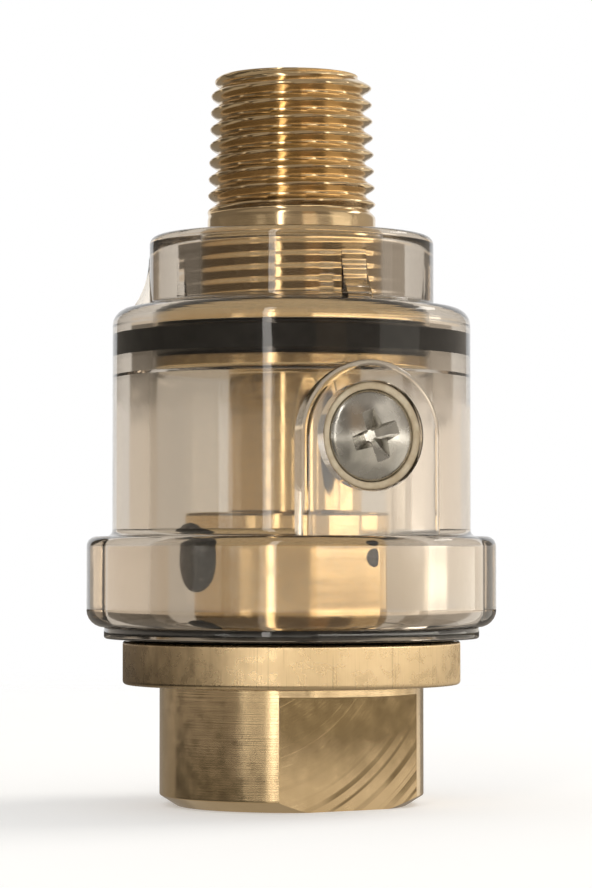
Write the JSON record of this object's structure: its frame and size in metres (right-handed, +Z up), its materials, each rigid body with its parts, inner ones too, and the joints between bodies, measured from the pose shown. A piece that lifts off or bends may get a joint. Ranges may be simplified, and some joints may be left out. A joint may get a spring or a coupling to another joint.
{
  "type": "air line lubricator",
  "caption": "In-line oiler for an air hose: turned brass core with a female inlet and a male taper outlet, a clear screw-on oil bowl with a lobed grip, and a side fill screw.",
  "frame": {"origin": "centre of the inlet end face, which the part stands on", "axes": "+Z up the axis towards the outlet thread, -Y out of the fill port"},
  "size_m": [0.0322, 0.0322, 0.0583],
  "materials": {
    "brass": "turned, with milled flats",
    "clear_plastic": "clear, faintly warm grey",
    "black_rubber": "matt",
    "plated_steel": "bright plated",
    "fibre": "matt",
    "felt": "oil-soaked felt"
  },
  "bodies": {
    "core": {"brass_core": "brass", "lower_o_ring": "black_rubber", "wick_plug": "felt"},
    "upper_seal": {"upper_o_ring": "black_rubber"},
    "bowl": {"bowl": "clear_plastic"},
    "fill_seal": {"fill_seal": "fibre"},
    "fill_screw": {"fill_screw": "plated_steel"}
  },
  "joints": [
    {"name": "bowl_turn", "type": "hinge", "parent": "core", "child": "upper_seal", "pos_m": [0, 0, 0.0368], "axis": [0, 0, 1], "range_deg": [0, 1800]},
    {"name": "bowl_lift", "type": "slide", "parent": "upper_seal", "child": "bowl", "axis": [0, 0, 1], "range_m": [0, 0.00501]},
    {"name": "fill_seal_slide", "type": "slide", "parent": "bowl", "child": "fill_seal", "axis": [0, -1, 0], "range_m": [0, 0.0021]},
    {"name": "fill_screw_turn", "type": "hinge", "parent": "fill_seal", "child": "fill_screw", "pos_m": [0, -0.0136, 0.029], "axis": [0, -1, 0], "range_deg": [0, 1081]}
  ],
  "couplings": [
    {"joint": "bowl_lift", "follows": "bowl_turn", "m_per_rad": 0.00015915},
    {"joint": "fill_screw_turn", "follows": "fill_seal_slide", "rad_per_m": 8976}
  ]
}
